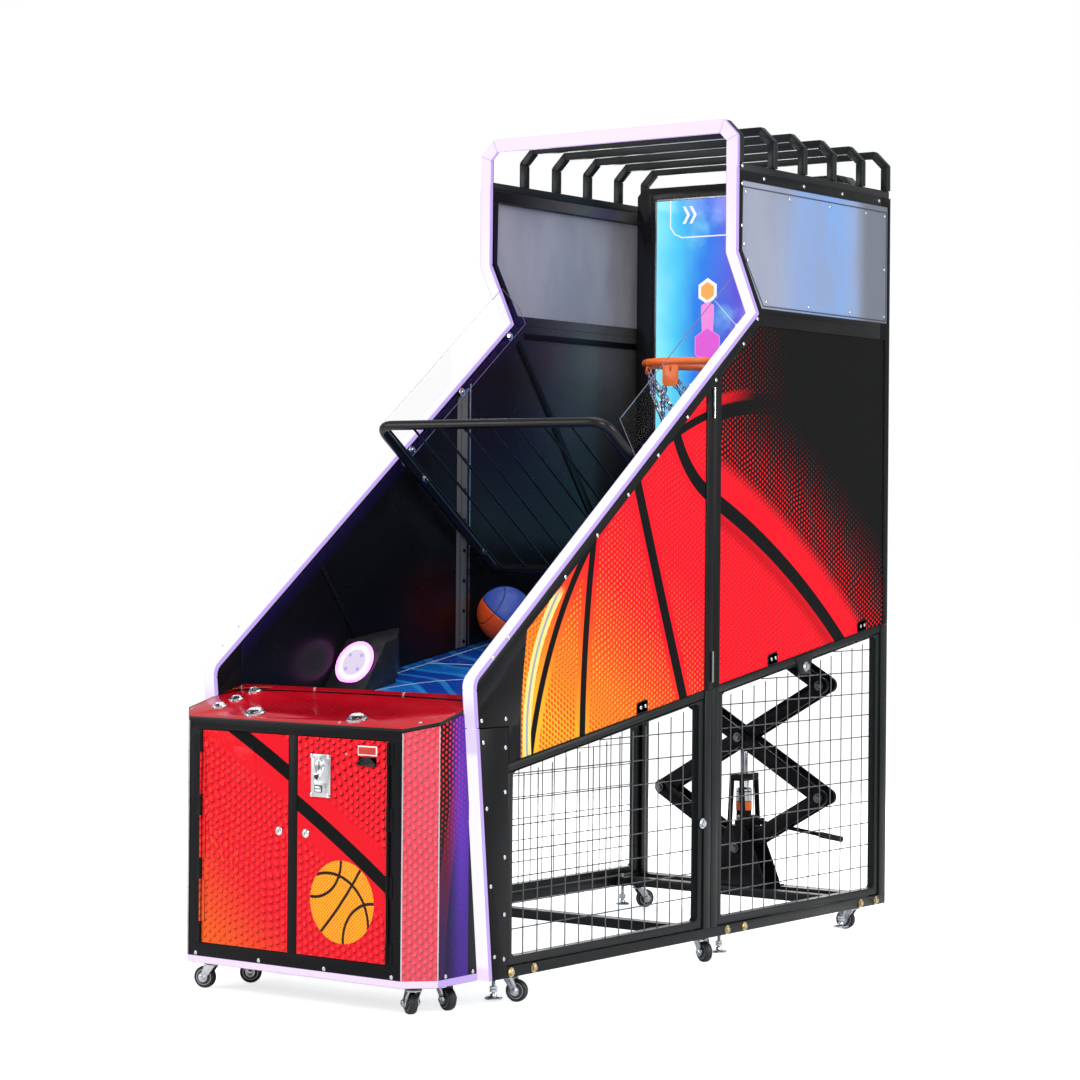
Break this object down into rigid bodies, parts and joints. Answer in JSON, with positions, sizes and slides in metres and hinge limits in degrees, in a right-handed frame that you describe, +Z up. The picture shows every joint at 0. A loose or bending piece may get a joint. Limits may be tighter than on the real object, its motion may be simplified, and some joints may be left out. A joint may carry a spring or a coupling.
{
  "type": "basketball hoop machine",
  "caption": "Free-standing arcade basketball machine: coin cabinet with push buttons, mesh-sided ball ramp, lit portal, hoop with chain net, display, service lift and casters.",
  "frame": {"origin": "On the floor, under the middle of the overall box.", "axes": "+Z up, +X to the player's right, +Y from the player into the machine."},
  "size_m": [1, 2.439, 2.6],
  "materials": {
    "base_frame": "satin",
    "lower_posts": "satin",
    "mesh_panels": "satin",
    "column_covers": "satin",
    "light_strip": "gloss",
    "cabinet_shell": "satin",
    "control_deck": "gloss",
    "jack_base": "satin",
    "upper_frame": "satin",
    "side_panels": "gloss",
    "window_panels": "frosted",
    "roof_bars": "satin",
    "ball_ramp": "satin",
    "clear_guards": "clear",
    "ball_grille": "satin",
    "speaker_pods": "frosted",
    "display_housing": "satin",
    "display_screen": "gloss",
    "hoop_rim": "satin",
    "chain_net": "polished",
    "door_skin": "satin",
    "coin_plate": "zinc plated",
    "button_cap": "gloss",
    "lift_arm": "satin",
    "jack_ram": "polished",
    "jack_handle": "satin",
    "levelling_feet": "zinc plated",
    "caster_steel": "zinc plated",
    "caster_tyre": "matt",
    "basketball": "matt"
  },
  "bodies": {
    "base": {"base_frame": "base_frame", "lower_posts": "lower_posts", "mesh_panels": "mesh_panels", "column_covers": "column_covers", "lower_light_strips": "light_strip", "cabinet_shell": "cabinet_shell", "control_deck": "control_deck", "jack_base": "jack_base"},
    "upper": {"upper_frame": "upper_frame", "side_panels": "side_panels", "window_panels": "window_panels", "light_strips": "light_strip", "roof_bars": "roof_bars", "ball_ramp": "ball_ramp", "clear_guards": "clear_guards", "ball_grille": "ball_grille", "speaker_pods": "speaker_pods", "display_housing": "display_housing", "display_screen": "display_screen", "hoop_rim": "hoop_rim", "chain_net": "chain_net"},
    "door_left_body": {"door_left": "door_skin"},
    "door_right_body": {"door_right": "door_skin", "coin_plate": "coin_plate"},
    "button_big_left_body": {"button_big_left": "button_cap"},
    "button_big_right_body": {"button_big_right": "button_cap"},
    "button_small_1_body": {"button_small_1": "button_cap"},
    "button_small_2_body": {"button_small_2": "button_cap"},
    "button_small_3_body": {"button_small_3": "button_cap"},
    "arm_lower_left_body": {"arm_lower_left": "lift_arm"},
    "arm_lower_right_body": {"arm_lower_right": "lift_arm"},
    "arm_cross_a_body": {"arm_cross_a": "lift_arm"},
    "arm_cross_b_body": {"arm_cross_b": "lift_arm"},
    "arm_upper_left_body": {"arm_upper_left": "lift_arm"},
    "arm_upper_right_body": {"arm_upper_right": "lift_arm"},
    "jack_ram_body": {"jack_ram": "jack_ram"},
    "jack_handle_body": {"jack_handle": "jack_handle"},
    "levelling_feet_body": {"levelling_feet": "levelling_feet"},
    "caster_1_swivel": {"caster_swivel_1": "caster_steel"},
    "caster_1_wheel": {"caster_wheel_1": "caster_tyre"},
    "caster_2_swivel": {"caster_swivel_2": "caster_steel"},
    "caster_2_wheel": {"caster_wheel_2": "caster_tyre"},
    "caster_3_swivel": {"caster_swivel_3": "caster_steel"},
    "caster_3_wheel": {"caster_wheel_3": "caster_tyre"},
    "caster_4_swivel": {"caster_swivel_4": "caster_steel"},
    "caster_4_wheel": {"caster_wheel_4": "caster_tyre"},
    "caster_5_swivel": {"caster_swivel_5": "caster_steel"},
    "caster_5_wheel": {"caster_wheel_5": "caster_tyre"},
    "caster_6_swivel": {"caster_swivel_6": "caster_steel"},
    "caster_6_wheel": {"caster_wheel_6": "caster_tyre"},
    "caster_7_swivel": {"caster_swivel_7": "caster_steel"},
    "caster_7_wheel": {"caster_wheel_7": "caster_tyre"},
    "caster_8_swivel": {"caster_swivel_8": "caster_steel"},
    "caster_8_wheel": {"caster_wheel_8": "caster_tyre"},
    "caster_9_swivel": {"caster_swivel_9": "caster_steel"},
    "caster_9_wheel": {"caster_wheel_9": "caster_tyre"},
    "caster_10_swivel": {"caster_swivel_10": "caster_steel"},
    "caster_10_wheel": {"caster_wheel_10": "caster_tyre"},
    "basketball_body": {"basketball": "basketball"}
  },
  "joints": [
    {"name": "upper_lift", "type": "slide", "parent": "base", "child": "upper", "axis": [0, 0, 1], "range_m": [0, 0.1]},
    {"name": "door_left_hinge", "type": "hinge", "parent": "base", "child": "door_left_body", "pos_m": [-0.344, -1.2125, 0.442], "axis": [0, 0, -1], "range_deg": [0, 105]},
    {"name": "door_right_hinge", "type": "hinge", "parent": "base", "child": "door_right_body", "pos_m": [0.344, -1.2125, 0.442], "axis": [0, 0, 1], "range_deg": [0, 105]},
    {"name": "button_big_left_press", "type": "slide", "parent": "base", "child": "button_big_left_body", "axis": [0, 0.2521, -0.9677], "range_m": [0, 0.004], "stiffness_N_per_m": 500, "springref_m": -0.004},
    {"name": "button_big_right_press", "type": "slide", "parent": "base", "child": "button_big_right_body", "axis": [0, 0.2521, -0.9677], "range_m": [0, 0.004], "stiffness_N_per_m": 500, "springref_m": -0.004},
    {"name": "button_small_1_press", "type": "slide", "parent": "base", "child": "button_small_1_body", "axis": [0, 0.2521, -0.9677], "range_m": [0, 0.004], "stiffness_N_per_m": 500, "springref_m": -0.004},
    {"name": "button_small_2_press", "type": "slide", "parent": "base", "child": "button_small_2_body", "axis": [0, 0.2521, -0.9677], "range_m": [0, 0.004], "stiffness_N_per_m": 500, "springref_m": -0.004},
    {"name": "button_small_3_press", "type": "slide", "parent": "base", "child": "button_small_3_body", "axis": [0, 0.2521, -0.9677], "range_m": [0, 0.004], "stiffness_N_per_m": 500, "springref_m": -0.004},
    {"name": "arm_lower_left_pivot", "type": "hinge", "parent": "base", "child": "arm_lower_left_body", "pos_m": [0, 1.1245, 0.244], "axis": [0, 1, 0], "range_deg": [0, 4.79]},
    {"name": "arm_lower_right_pivot", "type": "hinge", "parent": "base", "child": "arm_lower_right_body", "pos_m": [0, 1.1245, 0.244], "axis": [0, 1, 0], "range_deg": [-4.79, 0]},
    {"name": "arm_cross_a_pivot", "type": "hinge", "parent": "arm_lower_left_body", "child": "arm_cross_a_body", "pos_m": [-0.31966, 1.1245, 0.4323], "axis": [0, 1, 0], "range_deg": [-9.47, 0]},
    {"name": "arm_cross_b_pivot", "type": "hinge", "parent": "arm_lower_right_body", "child": "arm_cross_b_body", "pos_m": [0.31966, 1.1245, 0.4323], "axis": [0, 1, 0], "range_deg": [0, 9.47]},
    {"name": "arm_upper_left_pivot", "type": "hinge", "parent": "upper", "child": "arm_upper_left_body", "pos_m": [0, 1.1245, 0.99719], "axis": [0, 1, 0], "range_deg": [-4.79, 0]},
    {"name": "arm_upper_right_pivot", "type": "hinge", "parent": "upper", "child": "arm_upper_right_body", "pos_m": [0, 1.1245, 0.99719], "axis": [0, 1, 0], "range_deg": [0, 4.79]},
    {"name": "jack_ram_slide", "type": "slide", "parent": "base", "child": "jack_ram_body", "axis": [0, 0, 1], "range_m": [0, 0.051]},
    {"name": "jack_handle_pump", "type": "hinge", "parent": "base", "child": "jack_handle_body", "pos_m": [0.062, 1.1245, 0.334], "axis": [0, 1, 0], "range_deg": [-9, 6]},
    {"name": "levelling_feet_screw", "type": "slide", "parent": "base", "child": "levelling_feet_body", "axis": [0, 0, 1], "range_m": [-0.018, 0.008]},
    {"name": "caster_1_turn", "type": "hinge", "parent": "base", "child": "caster_1_swivel", "pos_m": [-0.371, -1.1285, 0.07], "axis": [0, 0, 1], "continuous": true},
    {"name": "caster_1_roll", "type": "hinge", "parent": "caster_1_swivel", "child": "caster_1_wheel", "pos_m": [-0.39167, -1.13602, 0.032], "axis": [0.342, -0.9397, 0], "continuous": true},
    {"name": "caster_2_turn", "type": "hinge", "parent": "base", "child": "caster_2_swivel", "pos_m": [-0.371, -0.9965, 0.07], "axis": [0, 0, 1], "continuous": true},
    {"name": "caster_2_roll", "type": "hinge", "parent": "caster_2_swivel", "child": "caster_2_wheel", "pos_m": [-0.35298, -0.98388, 0.032], "axis": [-0.5736, 0.8192, 0], "continuous": true},
    {"name": "caster_3_turn", "type": "hinge", "parent": "base", "child": "caster_3_swivel", "pos_m": [0.371, -1.1285, 0.07], "axis": [0, 0, 1], "continuous": true},
    {"name": "caster_3_roll", "type": "hinge", "parent": "caster_3_swivel", "child": "caster_3_wheel", "pos_m": [0.35195, -1.1175, 0.032], "axis": [-0.5, -0.866, 0], "continuous": true},
    {"name": "caster_4_turn", "type": "hinge", "parent": "base", "child": "caster_4_swivel", "pos_m": [0.371, -0.9965, 0.07], "axis": [0, 0, 1], "continuous": true},
    {"name": "caster_4_roll", "type": "hinge", "parent": "caster_4_swivel", "child": "caster_4_wheel", "pos_m": [0.39167, -1.00402, 0.032], "axis": [0.342, 0.9397, 0], "continuous": true},
    {"name": "caster_5_turn", "type": "hinge", "parent": "base", "child": "caster_5_swivel", "pos_m": [-0.43, -0.7715, 0.07], "axis": [0, 0, 1], "continuous": true},
    {"name": "caster_5_roll", "type": "hinge", "parent": "caster_5_swivel", "child": "caster_5_wheel", "pos_m": [-0.40933, -0.76398, 0.032], "axis": [-0.342, 0.9397, 0], "continuous": true},
    {"name": "caster_6_turn", "type": "hinge", "parent": "base", "child": "caster_6_swivel", "pos_m": [-0.43, 0.2045, 0.07], "axis": [0, 0, 1], "continuous": true},
    {"name": "caster_6_roll", "type": "hinge", "parent": "caster_6_swivel", "child": "caster_6_wheel", "pos_m": [-0.41198, 0.19188, 0.032], "axis": [0.5736, 0.8192, 0], "continuous": true},
    {"name": "caster_7_turn", "type": "hinge", "parent": "base", "child": "caster_7_swivel", "pos_m": [-0.43, 1.1225, 0.07], "axis": [0, 0, 1], "continuous": true},
    {"name": "caster_7_roll", "type": "hinge", "parent": "caster_7_swivel", "child": "caster_7_wheel", "pos_m": [-0.419, 1.14155, 0.032], "axis": [-0.866, 0.5, 0], "continuous": true},
    {"name": "caster_8_turn", "type": "hinge", "parent": "base", "child": "caster_8_swivel", "pos_m": [0.43, -0.7715, 0.07], "axis": [0, 0, 1], "continuous": true},
    {"name": "caster_8_roll", "type": "hinge", "parent": "caster_8_swivel", "child": "caster_8_wheel", "pos_m": [0.45125, -0.76581, 0.032], "axis": [-0.2588, 0.9659, 0], "continuous": true},
    {"name": "caster_9_turn", "type": "hinge", "parent": "base", "child": "caster_9_swivel", "pos_m": [0.43, 0.2045, 0.07], "axis": [0, 0, 1], "continuous": true},
    {"name": "caster_9_roll", "type": "hinge", "parent": "caster_9_swivel", "child": "caster_9_wheel", "pos_m": [0.44994, 0.1952, 0.032], "axis": [0.4226, 0.9063, 0], "continuous": true},
    {"name": "caster_10_turn", "type": "hinge", "parent": "base", "child": "caster_10_swivel", "pos_m": [0.43, 1.1225, 0.07], "axis": [0, 0, 1], "continuous": true},
    {"name": "caster_10_roll", "type": "hinge", "parent": "caster_10_swivel", "child": "caster_10_wheel", "pos_m": [0.40833, 1.11868, 0.032], "axis": [0.1736, -0.9848, 0], "continuous": true},
    {"name": "basketball_roll_path", "type": "slide", "parent": "upper", "child": "basketball_body", "axis": [0.3351, -0.9297, -0.1529], "range_m": [0, 1.0887]}
  ],
  "couplings": [
    {"joint": "arm_lower_left_pivot", "follows": "upper_lift", "rad_per_m": 0.80186},
    {"joint": "arm_lower_right_pivot", "follows": "upper_lift", "rad_per_m": -0.80186},
    {"joint": "arm_cross_a_pivot", "follows": "upper_lift", "rad_per_m": -1.6037},
    {"joint": "arm_cross_b_pivot", "follows": "upper_lift", "rad_per_m": 1.6037},
    {"joint": "arm_upper_left_pivot", "follows": "upper_lift", "rad_per_m": -0.80186},
    {"joint": "arm_upper_right_pivot", "follows": "upper_lift", "rad_per_m": 0.80186},
    {"joint": "jack_ram_slide", "follows": "upper_lift", "ratio": 0.5}
  ]
}
